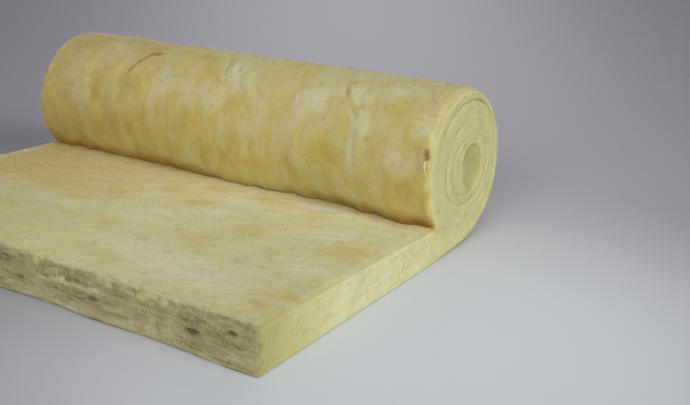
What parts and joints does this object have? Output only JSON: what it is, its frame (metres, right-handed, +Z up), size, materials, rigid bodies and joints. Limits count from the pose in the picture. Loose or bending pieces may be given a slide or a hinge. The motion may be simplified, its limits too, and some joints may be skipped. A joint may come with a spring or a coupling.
{
  "type": "insulation blanket roll",
  "caption": "Glass-wool insulation blanket, partly unrolled: a thick flat length of felted wool that runs back into a wound coil.",
  "frame": {"origin": "centre of the bounding box, on the floor that the blanket lies on", "axes": "+X across the blanket and along the coil, +Y from the free end towards the coil, +Z up"},
  "size_m": [1.2, 0.923, 0.365],
  "materials": {
    "glass_wool": "matte felted glass fibre, yellow with paler and ochre patches"
  },
  "bodies": {
    "root": {"wool_blanket": "glass_wool"}
  },
  "joints": []
}
